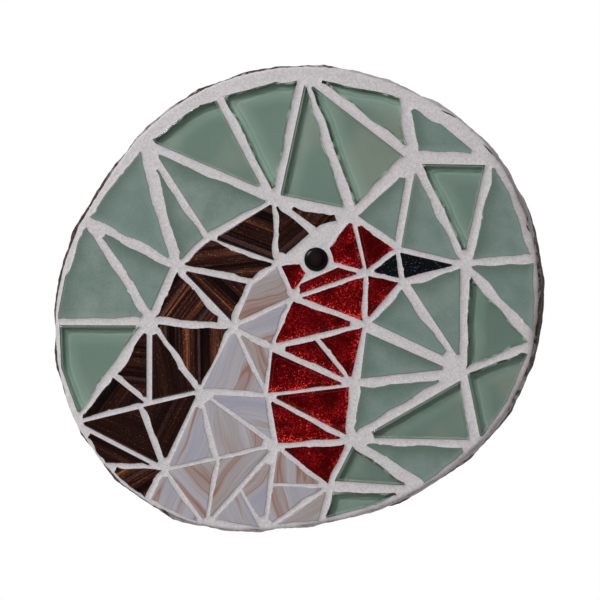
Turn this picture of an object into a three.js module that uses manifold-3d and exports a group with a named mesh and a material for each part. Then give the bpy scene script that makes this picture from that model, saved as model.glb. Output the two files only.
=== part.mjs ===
// A mosaic panel on a slice of a branch: wood with its bark on, a bed of grout, and
// broken glass tiles that picture a small red-breasted bird on a green ground.
//
// Millimetres. The panel is built lying on its back: x to the right and y up the
// picture, z out of its face, the back at z = 0. The group at the end stands it up,
// with its back against a wall at y = 0 and its face towards -Y.

import * as THREE from 'three';
import { mergeVertices } from 'three/addons/utils/BufferGeometryUtils.js';
import { ConvexHull } from 'three/addons/math/ConvexHull.js';
import Module from 'manifold-3d';

const wasm = await Module();
wasm.setup();

// ---- driving sizes ----------------------------------------------------------------

const GAP = 0.3; // kept between any two pieces

const SLICE_THICK = 12;
const SLICE_RADII = [77.6, 77.5, 74.5, 72.8, 72.3, 71.7, 76.5, 80.5, 79.5, 72.0, 72.3, 75.8];
const SLICE_LEAN = 2.5; // the branch leaned, so the back stands out to one side
const SLICE_LEAN_ANGLE = -5;
const SLICE_SIDES = 90;
const BARK_DEPTH = 0.5;
const EDGE_ROUND = 0.8;

const BED_FLOOR = 0.8; // adhesive and grout under the glass
const BED_THICK = 4.4;
const BED_INSET = 0.9;
const BED_SIDES = 90;
const BED_ROUND = 1.5; // the grout is wiped round over its rim
const BED_ROUND_STEPS = 3;

const GLASS_THICK = 3.7;
const GLASS_BEVEL = 0.35;

const EYE = { x: 5.0, y: 11.9, radius: 3.7, clear: 5.2, rise: 1.6, sides: 20 };

// The rim of the picture: how far the outermost cells stay from the slice's edge. It is
// wide round the top and narrow everywhere else.
const MARGIN = 0.6;
const MARGIN_SWING = 3.0;
const MARGIN_WIDEST = 98;
const RIM_FOLLOWED = 0.8; // how far an outer edge turns out towards the rim, as a share

// Half of a joint, and how much it changes along one edge.
const JOINT = {
  green: { half: 1.3, uneven: 0.7 },
  brown: { half: 0.95, uneven: 0.4 },
  white: { half: 0.85, uneven: 0.35 },
  red: { half: 0.85, uneven: 0.35 },
  beak: { half: 0.8, uneven: 0.15 },
};

const NIP_ANGLE = 62; // corners sharper than this are nipped off, to a short edge
const NIP_SMALL = 0.9;
const NIP_LARGE = 1.8;

// Cells of the picture, joints included: larger ones are cut up, some are paired.
const LARGEST = { green: 560, brown: 270, white: 230, red: 230, beak: 200 };
const LARGEST_PAIR = { green: 430, brown: 260, white: 230, red: 200, beak: 0 };
const PAIR_CHANCE = 0.35;
const SMALLEST_SHARD = 22;
const NARROWEST_SHARD = 4;
const SHORTEST_EDGE = 0.8;

const NODE_LIMIT = 60;

// The lines between the fields of colour, as the corners where the glass edges turn.
const TAIL_TOP_ANGLE = 209;
const TAIL_FOOT_ANGLE = 233;
const BELLY_FOOT_ANGLE = 275;
const NAPE = [-7, 10.5];
const FOREHEAD = [16.4, 25.4];
const BREAST_FOOT = [9, -58.5];
const BACK_LINE = [[-46.5, -7], [-38, 9.5], [-28.5, 18.5], [-8, 30.5]];
const WING_LINE = [[-15.5, 5], [-21, -9], [-31, -29], [-42, -53]];
const BREAST_LINE = [[-2.5, 0], [-9, -15.5], [-10.5, -30], [-7.5, -46]];
const CROWN_LINE = [[4.5, 20.5]];
const FRONT_LINE = [[20.3, -8.5], [16.3, -27], [15, -44]];
const BEAK = { back: [20.5, 7.6], top: [30.2, 15], tip: [51.5, 10.2], bottom: [32, 5] };

// How many pieces of rim each field has, and how far chance moves what it places.
const ON_RIM = { brown: 2, white: 3, green: 12 };
const SCATTER = { onRim: 0.16, inside: 1.5, alongCut: 0.1 };
const SEED = 4;
const LEAST_TURN = 0.25; // sine of the least turn at a corner of a four-sided cell

// Where the green glass is clear and glossy, and not frosted: centres and radii.
const CLEAR_SPOTS = [[-8, 62, 32], [-63, -20, 15], [52, 22, 11], [52, -25, 21], [20, -60, 15]];

const FINISH = {
  wood_slice: { color: 0x4b3730, roughness: 0.95, metalness: 0 },
  grout_bed: { color: 0xbeb8ba, roughness: 0.95, metalness: 0 },
  clear_green_shard: { color: 0x5f7466, roughness: 0.08, metalness: 0 },
  frosted_green_shard: { color: 0x718379, roughness: 0.55, metalness: 0 },
  brown_shard: { color: 0x2c1812, roughness: 0.15, metalness: 0 },
  red_shard: { color: 0x66080b, roughness: 0.12, metalness: 0 },
  white_shard: { color: 0xa8a0a2, roughness: 0.15, metalness: 0 },
  beak_shard: { color: 0x0d0e0f, roughness: 0.2, metalness: 0 },
  eye_bead: { color: 0x100f11, roughness: 0.05, metalness: 0 },
};

// ---- numbers and flat geometry ----------------------------------------------------

function randomFrom(seed) {
  let state = seed;
  return () => {
    state = (state * 1664525 + 1013904223) % 4294967296;
    return state / 4294967296;
  };
}

const random = randomFrom(SEED);
const spread = (size) => (random() * 2 - 1) * size;
const point = ([x, y]) => new THREE.Vector2(x, y);

function polar(radius, degrees) {
  const angle = THREE.MathUtils.degToRad(degrees);
  return new THREE.Vector2(radius * Math.cos(angle), radius * Math.sin(angle));
}

function area(polygon) {
  return THREE.ShapeUtils.area(polygon);
}

function centre(polygon) {
  const sum = new THREE.Vector2();
  polygon.forEach((corner) => sum.add(corner));
  return sum.divideScalar(polygon.length);
}

function isInside(place, polygon) {
  let inside = false;
  polygon.forEach((a, i) => {
    const b = polygon[(i + 1) % polygon.length];
    if ((a.y > place.y) === (b.y > place.y)) return;
    const crossing = a.x + ((place.y - a.y) / (b.y - a.y)) * (b.x - a.x);
    if (crossing > place.x) inside = !inside;
  });
  return inside;
}

// Keeps the part of a convex polygon on the side of a line that its normal points to,
// without the corners that come too close to the one before.
function clip(polygon, onLine, normal) {
  const kept = [];
  polygon.forEach((a, i) => {
    const b = polygon[(i + 1) % polygon.length];
    const sideA = normal.dot(a.clone().sub(onLine));
    const sideB = normal.dot(b.clone().sub(onLine));
    if (sideA >= 0) kept.push(a.clone());
    if ((sideA >= 0) !== (sideB >= 0)) kept.push(a.clone().lerp(b, sideA / (sideA - sideB)));
  });
  return kept.filter((p, i) => p.distanceTo(kept[(i + 1) % kept.length]) > SHORTEST_EDGE);
}

const inward = (a, b) => new THREE.Vector2(a.y - b.y, b.x - a.x).normalize();

// Moves each edge of a polygon outwards by the same distance.
function grow(polygon, distance) {
  return polygon.map((corner, i) => {
    const before = polygon[(i + polygon.length - 1) % polygon.length];
    const after = polygon[(i + 1) % polygon.length];
    const normalBefore = inward(before, corner);
    const normalAfter = inward(corner, after);
    const bisector = normalBefore.clone().add(normalAfter).normalize();
    return corner.clone().addScaledVector(bisector, -distance / bisector.dot(normalAfter));
  });
}

// ---- the outline of the slice -----------------------------------------------------

function sliceRadius(degrees) {
  const count = SLICE_RADII.length;
  const place = (degrees * count) / 360;
  const low = Math.floor(place);
  const t = place - low;
  const at = (i) => SLICE_RADII[(((low + i) % count) + count) % count];
  const slopeA = (at(1) - at(-1)) / 2;
  const slopeB = (at(2) - at(0)) / 2;
  const turn = at(1) - at(0);
  return at(0) + slopeA * t + (3 * turn - 2 * slopeA - slopeB) * t * t
    + (slopeA + slopeB - 2 * turn) * t * t * t;
}

const leanAt = (degrees) => Math.cos(THREE.MathUtils.degToRad(degrees - SLICE_LEAN_ANGLE));
const frontRadius = (degrees) => sliceRadius(degrees) - SLICE_LEAN * Math.max(0, leanAt(degrees));
const backRadius = (degrees) => sliceRadius(degrees) - SLICE_LEAN * Math.max(0, -leanAt(degrees));

function marginAt(degrees) {
  const towardsWidest = Math.cos(THREE.MathUtils.degToRad(degrees - MARGIN_WIDEST));
  return MARGIN + MARGIN_SWING * Math.max(0, towardsWidest);
}

function rimPoint(degrees) {
  return polar(frontRadius(degrees) - marginAt(degrees), degrees);
}

// Corners on the rim between two angles, the first one included.
function rimPoints(from, to, count) {
  return Array.from({ length: count }, (unused, i) => {
    const step = (to - from) / count;
    const shift = i ? spread(SCATTER.onRim) : 0;
    return rimPoint(from + (i + shift) * step);
  });
}

// ---- the picture: fields of colour, and the corners they share --------------------

const tailTop = rimPoint(TAIL_TOP_ANGLE);
const tailFoot = rimPoint(TAIL_FOOT_ANGLE);
const bellyFoot = rimPoint(BELLY_FOOT_ANGLE);
const eye = new THREE.Vector2(EYE.x, EYE.y);

const backLine = BACK_LINE.map(point);
const wingLine = WING_LINE.map(point);
const breastLine = BREAST_LINE.map(point);
const crownLine = CROWN_LINE.map(point);
const frontLine = FRONT_LINE.map(point);
const nape = point(NAPE);
const forehead = point(FOREHEAD);
const breastFoot = point(BREAST_FOOT);
const beak = Object.fromEntries(Object.entries(BEAK).map(([name, at]) => [name, point(at)]));

const tailRim = rimPoints(TAIL_TOP_ANGLE, TAIL_FOOT_ANGLE, ON_RIM.brown).slice(1);
const bellyRim = rimPoints(TAIL_FOOT_ANGLE, BELLY_FOOT_ANGLE, ON_RIM.white).slice(1);
const groundRim = rimPoints(BELLY_FOOT_ANGLE, TAIL_TOP_ANGLE + 360, ON_RIM.green).slice(1);

const onRim = new Set([tailTop, ...tailRim, tailFoot, ...bellyRim, bellyFoot, ...groundRim]);

const FIELDS = {
  brown: [tailTop, ...tailRim, tailFoot, ...[...wingLine].reverse(), nape, ...crownLine,
    forehead, ...[...backLine].reverse()],
  white: [nape, ...wingLine, tailFoot, ...bellyRim, bellyFoot, breastFoot,
    ...[...breastLine].reverse()],
  red: [nape, ...breastLine, breastFoot, ...[...frontLine].reverse(), beak.bottom, beak.back,
    beak.top, forehead, ...crownLine],
  beak: [beak.back, beak.bottom, beak.tip, beak.top],
};

function fieldAt(place) {
  const found = Object.keys(FIELDS).find((name) => isInside(place, FIELDS[name]));
  return found ?? 'green';
}

// Delaunay triangles: the lower faces of the hull of the points lifted to a paraboloid.
function triangulate(points) {
  const lifted = points.map((p) => new THREE.Vector3(p.x, p.y, p.lengthSq()));
  const hull = new ConvexHull().setFromPoints(lifted);
  const lower = hull.faces.filter((face) => face.normal.z < -1e-4);
  return lower.map((face) => {
    const corners = [face.edge, face.edge.next, face.edge.prev];
    const triangle = corners.map((edge) => lifted.indexOf(edge.head().point));
    return area(triangle.map((i) => points[i])) < 0 ? triangle.reverse() : triangle;
  });
}

// Adds corners to the ground until no triangle of it is larger than it should be.
function refine(points) {
  for (;;) {
    const ground = triangulate(points)
      .map((triangle) => triangle.map((i) => points[i]))
      .filter((triangle) => fieldAt(centre(triangle)) === 'green')
      .sort((a, b) => area(b) - area(a));
    if (area(ground[0]) <= LARGEST.green) return points;
    const scatter = new THREE.Vector2(spread(SCATTER.inside), spread(SCATTER.inside));
    points.push(centre(ground[0]).add(scatter));
  }
}

const corners = refine([
  ...onRim, ...backLine, ...wingLine, ...breastLine, ...crownLine, ...frontLine,
  nape, forehead, breastFoot, eye, beak.back, beak.top, beak.tip, beak.bottom,
]);

function isConvex(polygon) {
  return polygon.every((b, i) => {
    const a = polygon[(i + polygon.length - 1) % polygon.length];
    const c = polygon[(i + 1) % polygon.length];
    const turn = b.clone().sub(a).normalize().cross(c.clone().sub(b).normalize());
    return turn > LEAST_TURN;
  });
}

// The four-sided cell that two triangles make, or null where they make none.
function quadOf(first, second) {
  if (first.field !== second.field) return null;
  const odd = second.polygon.find((p) => !first.polygon.includes(p));
  const start = first.polygon.findIndex((p) => !second.polygon.includes(p));
  const shared = first.polygon.filter((p) => second.polygon.includes(p));
  if (shared.length !== 2 || first.polygon.length !== 3) return null;
  const [a, b, c] = [0, 1, 2].map((i) => first.polygon[(start + i) % 3]);
  const polygon = [a, b, odd, c];
  const fits = isConvex(polygon) && area(polygon) < LARGEST_PAIR[first.field];
  return fits ? { field: first.field, polygon } : null;
}

// Pairs some neighbouring triangles of one colour into four-sided cells.
function pairUp(triangles) {
  const open = [...triangles];
  const cells = [];
  while (open.length) {
    const cell = open.shift();
    const mate = random() < PAIR_CHANCE && open.find((other) => quadOf(cell, other));
    if (mate) open.splice(open.indexOf(mate), 1);
    cells.push(mate ? quadOf(cell, mate) : cell);
  }
  return cells;
}

// Cuts a cell that is too large from a corner to the middle of its longest edge.
function shatter({ field, polygon }) {
  if (area(polygon) <= LARGEST[field]) return [{ field, polygon }];
  const count = polygon.length;
  const lengths = polygon.map((p, i) => p.distanceTo(polygon[(i + 1) % count]));
  const longest = lengths.indexOf(Math.max(...lengths));
  const turned = polygon.map((p, i) => polygon[(longest + 1 + i) % count]);
  const middle = turned[count - 1].clone().lerp(turned[0], 0.5 + spread(SCATTER.alongCut));
  const first = [middle, ...turned.slice(0, 2)];
  const rest = [middle, ...turned.slice(1)];
  return [first, rest].flatMap((part) => shatter({ field, polygon: part }));
}

const triangles = triangulate(corners).map((triangle) => {
  const polygon = triangle.map((i) => corners[i]);
  return { polygon, field: fieldAt(centre(polygon)) };
});
const cells = pairUp(triangles).flatMap(shatter);

// ---- from a cell of the picture to the outline of its shard -----------------------

// Gives an edge between two corners on the rim one more corner, out towards the rim.
function followRim(polygon) {
  return polygon.flatMap((a, i) => {
    const b = polygon[(i + 1) % polygon.length];
    if (!onRim.has(a) || !onRim.has(b)) return [a];
    const middle = a.clone().lerp(b, 0.5);
    const degrees = THREE.MathUtils.radToDeg(middle.angle());
    return [a, middle.lerp(rimPoint(degrees), RIM_FOLLOWED)];
  });
}

function insetForJoints(polygon, joint) {
  return polygon.reduce((shard, a, i) => {
    const b = polygon[(i + 1) % polygon.length];
    const normal = inward(a, b);
    const from = a.clone().addScaledVector(normal, joint.half + spread(joint.uneven));
    const to = b.clone().addScaledVector(normal, joint.half + spread(joint.uneven));
    return clip(shard, from, inward(from, to));
  }, polygon);
}

function nipSharpCorners(polygon) {
  return polygon.reduce((shard, corner, i) => {
    const before = polygon[(i + polygon.length - 1) % polygon.length].clone().sub(corner);
    const after = polygon[(i + 1) % polygon.length].clone().sub(corner);
    const angle = Math.acos(before.normalize().dot(after.normalize()));
    const width = THREE.MathUtils.lerp(NIP_SMALL, NIP_LARGE, random());
    if (angle > THREE.MathUtils.degToRad(NIP_ANGLE)) return shard;
    const normal = before.add(after).normalize();
    const depth = width / (2 * Math.tan(angle / 2));
    return clip(shard, corner.clone().addScaledVector(normal, depth), normal);
  }, polygon);
}

function clearTheEye(polygon) {
  const nearest = polygon.reduce((best, p) => Math.min(best, p.distanceTo(eye)), Infinity);
  if (nearest > EYE.clear) return polygon;
  const away = centre(polygon).sub(eye).normalize();
  return clip(polygon, eye.clone().addScaledVector(away, EYE.clear), away);
}

function kindOf(cell, outline) {
  if (cell.field !== 'green') return `${cell.field}_shard`;
  const place = centre(outline);
  const isClear = CLEAR_SPOTS.some(([x, y, reach]) => place.distanceTo({ x, y }) < reach);
  return isClear ? 'clear_green_shard' : 'frosted_green_shard';
}

function shardOf(cell) {
  const inset = insetForJoints(followRim(cell.polygon), JOINT[cell.field]);
  const outline = clearTheEye(nipSharpCorners(inset));
  return { outline, kind: kindOf(cell, outline) };
}

function isWorthSetting({ outline }) {
  if (outline.length < 3 || area(outline) < SMALLEST_SHARD) return false;
  const lengths = outline.map((p, i) => p.distanceTo(outline[(i + 1) % outline.length]));
  return (2 * area(outline)) / Math.max(...lengths) > NARROWEST_SHARD;
}

const shards = cells.map(shardOf).filter(isWorthSetting);

// ---- solids -----------------------------------------------------------------------

function solidOf(geometry) {
  const bare = geometry.clone();
  bare.deleteAttribute('normal');
  bare.deleteAttribute('uv');
  const merged = mergeVertices(bare, 1e-4);
  return new wasm.Manifold(new wasm.Mesh({
    numProp: 3,
    vertProperties: new Float32Array(merged.attributes.position.array),
    triVerts: new Uint32Array(merged.index.array),
  }));
}

function geometryOf(solid) {
  const mesh = solid.getMesh();
  const geometry = new THREE.BufferGeometry();
  geometry.setAttribute('position', new THREE.BufferAttribute(mesh.vertProperties, 3));
  geometry.setIndex(new THREE.BufferAttribute(mesh.triVerts, 1));
  return geometry;
}

// A slab between two heights, with its edges bevelled by `bevel` at both faces.
function slab(outline, from, to, bevel) {
  const geometry = new THREE.ExtrudeGeometry(new THREE.Shape(outline), {
    depth: to - from - 2 * bevel,
    bevelEnabled: bevel > 0,
    bevelSize: bevel,
    bevelThickness: bevel,
    bevelOffset: -bevel,
    bevelSegments: 1,
  });
  return geometry.translate(0, 0, from + bevel);
}

// A closed body through rings of points, each ring with as many points as the others.
function loft(rings) {
  const sides = rings[0].length;
  const last = (rings.length - 1) * sides;
  const cap = THREE.ShapeUtils.triangulateShape(rings[0], []);
  const index = [];
  for (let level = 0; level + 1 < rings.length; level += 1) {
    for (let i = 0; i < sides; i += 1) {
      const a = level * sides + i;
      const b = level * sides + ((i + 1) % sides);
      index.push(a, b, b + sides, a, b + sides, a + sides);
    }
  }
  cap.forEach(([a, b, c]) => index.push(a, c, b, last + a, last + b, last + c));
  const geometry = new THREE.BufferGeometry();
  const positions = rings.flat().flatMap((p) => [p.x, p.y, p.z]);
  geometry.setAttribute('position', new THREE.Float32BufferAttribute(positions, 3));
  geometry.setIndex(index);
  geometry.computeVertexNormals();
  return geometry;
}

function barkRelief(degrees, height) {
  const angle = THREE.MathUtils.degToRad(degrees);
  const plates = Math.sin(23 * angle + 1.5 * Math.sin(0.5 * height));
  const furrows = Math.sin(37 * angle - 0.35 * height);
  return BARK_DEPTH * (0.6 * plates + 0.4 * furrows);
}

function woodSlice() {
  const levels = [0, EDGE_ROUND, 0.35 * SLICE_THICK, 0.7 * SLICE_THICK,
    SLICE_THICK - EDGE_ROUND, SLICE_THICK];
  return loft(levels.map((height) => {
    const isEnd = height === 0 || height === SLICE_THICK;
    return Array.from({ length: SLICE_SIDES }, (unused, i) => {
      const degrees = (i * 360) / SLICE_SIDES;
      const share = height / SLICE_THICK;
      const leaning = THREE.MathUtils.lerp(backRadius(degrees), frontRadius(degrees), share);
      const relief = barkRelief(degrees, height);
      const flat = polar(leaning + relief - (isEnd ? EDGE_ROUND : 0), degrees);
      return new THREE.Vector3(flat.x, flat.y, height);
    });
  }));
}

const BED_FOOT = SLICE_THICK + GAP;
const BED_TOP = BED_FOOT + BED_THICK;
const SOCKET_FLOOR = BED_FOOT + BED_FLOOR;
const GLASS_FOOT = SOCKET_FLOOR + GAP;
const GLASS_TOP = GLASS_FOOT + GLASS_THICK;

function shardSolid(outline) {
  return slab(outline, GLASS_FOOT, GLASS_TOP, GLASS_BEVEL);
}

function bedRing(inset, height) {
  return Array.from({ length: BED_SIDES }, (unused, i) => {
    const degrees = (i * 360) / BED_SIDES;
    const flat = polar(frontRadius(degrees) - BED_INSET - inset, degrees);
    return new THREE.Vector3(flat.x, flat.y, height);
  });
}

// The bed before it holds anything: upright at its foot, rounded over at its face.
function plainBed() {
  const rings = [bedRing(0, BED_FOOT)];
  for (let step = 0; step <= BED_ROUND_STEPS; step += 1) {
    const angle = (step * Math.PI) / (2 * BED_ROUND_STEPS);
    const inset = BED_ROUND * (1 - Math.cos(angle));
    rings.push(bedRing(inset, BED_TOP - BED_ROUND * (1 - Math.sin(angle))));
  }
  return loft(rings);
}

function circle(at, radius, sides) {
  return Array.from({ length: sides }, (unused, i) => polar(radius, (i * 360) / sides).add(at));
}

// The bed has a socket for each separate piece of glass, and the rest are part of it.
function groutBed(separate, fused) {
  let bed = solidOf(plainBed());
  const socket = (outline) => solidOf(slab(outline, SOCKET_FLOOR, BED_TOP + 1, 0));
  separate.forEach((shard) => {
    bed = bed.subtract(socket(grow(shard.outline, GAP)));
  });
  bed = bed.subtract(socket(circle(eye, EYE.radius + GAP, EYE.sides)));
  fused.forEach((shard) => {
    bed = bed.add(solidOf(slab(shard.outline, SOCKET_FLOOR, GLASS_TOP, GLASS_BEVEL)));
  });
  return geometryOf(bed);
}

function eyeBead() {
  const height = GLASS_TOP - EYE.rise * 0.5 - GLASS_FOOT;
  const dome = Array.from({ length: 6 }, (unused, i) => {
    const angle = (i * Math.PI) / 10;
    return new THREE.Vector2(EYE.radius * Math.cos(angle), height + EYE.rise * Math.sin(angle));
  });
  const profile = [new THREE.Vector2(0, 0), new THREE.Vector2(EYE.radius, 0), ...dome];
  profile[profile.length - 1].x = 0;
  const geometry = new THREE.LatheGeometry(profile, EYE.sides);
  return geometry.rotateX(Math.PI / 2).translate(EYE.x, EYE.y, GLASS_FOOT);
}

// ---- the panel --------------------------------------------------------------------

const panel = new THREE.Group();

function addPiece(name, kind, geometry) {
  const mesh = new THREE.Mesh(geometry, new THREE.MeshStandardMaterial(FINISH[kind]));
  mesh.name = name;
  panel.add(mesh);
}

const ORDER = ['beak_shard', 'red_shard', 'brown_shard', 'clear_green_shard',
  'frosted_green_shard', 'white_shard'];
const largestFirst = [...shards].sort((a, b) => area(b.outline) - area(a.outline));
const byKind = ORDER.flatMap((kind) => largestFirst.filter((shard) => shard.kind === kind));
const shardLimit = NODE_LIMIT - 3;
const separate = byKind.slice(0, shardLimit);
const fused = byKind.slice(shardLimit);

addPiece('wood_slice', 'wood_slice', woodSlice());
addPiece('grout_bed', 'grout_bed', groutBed(separate, fused));
addPiece('eye_bead', 'eye_bead', eyeBead());
ORDER.forEach((kind) => {
  separate.filter((shard) => shard.kind === kind).forEach((shard, i) => {
    addPiece(`${kind}_${String(i + 1).padStart(2, '0')}`, kind, shardSolid(shard.outline));
  });
});

panel.rotation.x = Math.PI / 2;

export default panel;
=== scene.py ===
"""The looks of the mosaic panel: worn glass shards, grout, bark and sawn wood.

Lengths are in millimetres in the plane of the picture: u to the right, v up, and h
out of the face from the wall. world() turns them into the frame's metres.
"""

import math
import random

import bpy
import numpy as np
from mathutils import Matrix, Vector, kdtree, noise
from mathutils.geometry import delaunay_2d_cdt

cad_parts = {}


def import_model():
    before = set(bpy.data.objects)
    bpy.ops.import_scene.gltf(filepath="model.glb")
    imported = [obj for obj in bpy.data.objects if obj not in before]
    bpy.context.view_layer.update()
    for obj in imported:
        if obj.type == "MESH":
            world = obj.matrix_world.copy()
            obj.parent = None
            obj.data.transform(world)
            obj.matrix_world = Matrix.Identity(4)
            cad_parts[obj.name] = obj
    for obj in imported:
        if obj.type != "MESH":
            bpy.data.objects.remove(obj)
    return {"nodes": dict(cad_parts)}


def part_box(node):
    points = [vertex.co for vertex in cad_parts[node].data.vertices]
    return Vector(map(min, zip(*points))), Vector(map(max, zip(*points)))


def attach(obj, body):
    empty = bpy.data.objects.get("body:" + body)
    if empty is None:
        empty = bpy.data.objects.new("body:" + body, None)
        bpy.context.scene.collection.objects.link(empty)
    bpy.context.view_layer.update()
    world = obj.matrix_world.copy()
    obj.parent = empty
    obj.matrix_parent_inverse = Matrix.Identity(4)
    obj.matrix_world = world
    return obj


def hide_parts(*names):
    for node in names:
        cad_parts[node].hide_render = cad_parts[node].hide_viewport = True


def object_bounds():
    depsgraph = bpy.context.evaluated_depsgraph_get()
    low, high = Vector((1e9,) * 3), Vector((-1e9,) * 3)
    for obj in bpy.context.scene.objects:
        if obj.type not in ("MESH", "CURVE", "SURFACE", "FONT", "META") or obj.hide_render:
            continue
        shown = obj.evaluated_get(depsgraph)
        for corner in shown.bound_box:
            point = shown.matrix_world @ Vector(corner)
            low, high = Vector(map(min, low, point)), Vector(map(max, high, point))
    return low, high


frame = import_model()
cad_low, cad_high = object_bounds()

MM = 0.001
VIEW_SIDE = 185.88  # how much of the panel's plane the picture spans, in mm

KINDS = {
    "clear_green_shard": "clear_green_glass",
    "frosted_green_shard": "frosted_green_glass",
    "brown_shard": "brown_glass",
    "red_shard": "red_glass",
    "white_shard": "white_glass",
    "beak_shard": "black_glass",
}

GLASS_BEVEL = 0.35  # what the solids' top edges lose all round
GLASS_IOR = 1.5
SIDE_LAP = 0.06  # how far grout and glass overlap, so that no gap shows
SWELL = {"brown": 0.24, "red": 0.22, "white": 0.18, "beak": 0.08}  # glass meets grout
SWELL_OTHERS = 0.16
RIM_KEEP = 0.75  # the least grout between a shard's corners and the rim
SKEW = {"clear": (0.3, 1.3), "frosted": (0.35, 1.4), "brown": (0.3, 0.8), "white": (0.3, 0.7)}
SKEW_OTHERS = (0.3, 0.6)  # how often a corner is cut askew, and by how much at most


# ---- places in the frame ----


def flat(co):
    """A frame point, in metres, as (u, v, h) in millimetres."""
    return co[0] / MM, co[2] / MM, -co[1] / MM


def world(u, v, h):
    return Vector((u * MM, -h * MM, v * MM))


def node_points(name):
    return [flat(vertex.co) for vertex in frame["nodes"][name].data.vertices]


def heights(name):
    """The levels of a node's back and of its face."""
    low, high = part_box(name)
    return -high[1] / MM, -low[1] / MM


def level_ring(name, level):
    """Angles and radii of a node's vertices at one height, in order of angle."""
    found = {}
    for u, v, h in node_points(name):
        if abs(h - level) < 0.02:
            found[round(math.atan2(v, u), 4)] = math.hypot(u, v)
    angles = np.array(sorted(found))
    return angles, np.array([found[a] for a in angles])


def ring_radius(ring, angles):
    return np.interp(angles, ring[0], ring[1], period=2 * math.pi)


def ring_of(loop):
    """A closed loop round the origin as angles and radii."""
    return np.arctan2(loop[:, 1], loop[:, 0]), np.hypot(*loop.T)


def polar(radii, angles):
    return np.stack([radii * np.cos(angles), radii * np.sin(angles)], axis=1)


def wave(x, y, z):
    """Smooth noise, between -1 and 1."""
    return noise.noise(Vector((x, y, z)))


def hull(points):
    """The convex outline of flat points, counter-clockwise."""
    ordered = sorted({(round(p[0], 4), round(p[1], 4)) for p in points})

    def half(sequence):
        side = []
        for p in sequence:
            while len(side) > 1 and turn(side[-2], side[-1], p) <= 1e-3:
                side.pop()
            side.append(p)
        return side[:-1]

    return np.array(half(ordered) + half(ordered[::-1]))


def turn(a, b, c):
    """Positive where the way from a by b to c bends to the left."""
    return (b[0] - a[0]) * (c[1] - a[1]) - (b[1] - a[1]) * (c[0] - a[0])


def grow(corners, distance):
    """Moves each edge of a convex outline outwards."""
    edges = np.roll(corners, -1, axis=0) - corners
    edges /= np.linalg.norm(edges, axis=1)[:, None]
    after = np.stack([edges[:, 1], -edges[:, 0]], axis=1)
    before = np.roll(after, 1, axis=0)
    bisector = after + before
    bisector /= np.linalg.norm(bisector, axis=1)[:, None]
    reach = distance / np.sum(bisector * after, axis=1)
    return corners + bisector * reach[:, None]


def degrees_off(angle, middle):
    """How far an angle in radians is from one in degrees, within half a turn."""
    return (math.degrees(angle) - middle + 180) % 360 - 180


def lobes(angle, places):
    """A value round the panel, from places of (degrees, spread in degrees, amount)."""
    return sum(
        amount * math.exp(-((degrees_off(angle, middle) / spread) ** 2))
        for middle, spread, amount in places)


def raised_outlines(name, level):
    """The outlines of the islands of a node that stand at a level."""
    mesh = frame["nodes"][name].data
    islands = []
    for face in mesh.polygons:
        points = [flat(mesh.vertices[i].co) for i in face.vertices]
        if min(p[2] for p in points) < level - 0.02:
            continue
        keys = {(round(p[0], 2), round(p[1], 2)) for p in points}
        touching = [island for island in islands if island & keys]
        for island in touching:
            islands.remove(island)
            keys |= island
        islands.append(keys)
    outlines = [grow(hull(island), GLASS_BEVEL) for island in islands]
    return sorted(outlines, key=lambda outline: (outline[:, 1].max(), outline[0, 0]))


# ---- meshes ----


def link(name, data):
    """A new object in the scene."""
    made = bpy.data.objects.new(name, data)
    bpy.context.scene.collection.objects.link(made)
    return made


def new_piece(name, verts, faces, materials, replaced=(), sharp=50):
    """A piece on the panel's one body, smooth but for edges sharper than `sharp` degrees."""
    mesh = bpy.data.meshes.new(name)
    mesh.from_pydata([world(*v) for v in verts], [], faces)
    mesh.validate()
    mesh.update()
    mesh.shade_smooth()
    mesh.set_sharp_from_angle(angle=math.radians(sharp))
    for material in materials:
        mesh.materials.append(material)
    piece = link(name, mesh)
    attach(piece, "root")
    if replaced:
        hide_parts(*replaced)
    return piece


def paint(piece, name, values):
    """Stores one number, or one vector, for each vertex of a piece."""
    values = np.asarray(values, dtype=np.float32)
    kind, field = ("FLOAT", "value") if values.ndim == 1 else ("FLOAT_VECTOR", "vector")
    layer = piece.data.attributes.new(name, kind, "POINT")
    layer.data.foreach_set(field, values.ravel())


def ring_edges(start, count):
    return [(start + i, start + (i + 1) % count) for i in range(count)]


def tube_faces(sides, rings):
    """The sides of a tube whose points come ring after ring."""
    faces = []
    for k in range(rings - 1):
        for a, b in ring_edges(k * sides, sides):
            faces.append((a, b, b + sides, a + sides))
    return faces


def back_face(start, count):
    return tuple(start + i for i in reversed(range(count)))


def normals_of(loop):
    """Outward normals of a closed counter-clockwise loop of points."""
    along = np.roll(loop, -1, axis=0) - np.roll(loop, 1, axis=0)
    along /= np.linalg.norm(along, axis=1)[:, None] + 1e-9
    return np.stack([along[:, 1], -along[:, 0]], axis=1)


def gap_to(points, loop):
    """The distance from each point to a closed loop."""
    step = np.roll(loop, -1, axis=0) - loop
    length2 = np.sum(step * step, axis=1) + 1e-12
    offset = points[:, None] - loop
    share = np.clip(np.sum(offset * step, axis=2) / length2, 0, 1)
    gap = offset - share[:, :, None] * step
    return np.sqrt(np.sum(gap * gap, axis=2)).min(axis=1)


def inside(points, loop):
    """Which points lie inside a closed loop."""
    a, b = loop, np.roll(loop, -1, axis=0)
    u, v = points[:, :1], points[:, 1:]
    spans = (a[:, 1] > v) != (b[:, 1] > v)
    rise = np.where(np.abs(b[:, 1] - a[:, 1]) < 1e-9, 1e-9, b[:, 1] - a[:, 1])
    crossing = a[:, 0] + (v - a[:, 1]) / rise * (b - a)[:, 0]
    return np.sum(spans & (crossing > u), axis=1) % 2 == 1


def grid(low, high, step):
    """Points in staggered rows over a rectangle."""
    rows = np.arange(low[1], high[1], step * 0.87)
    columns = np.arange(low[0], high[0], step)
    points = [(u + (i % 2) * step / 2, v) for i, v in enumerate(rows) for u in columns]
    return np.array(points).reshape(-1, 2)


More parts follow.
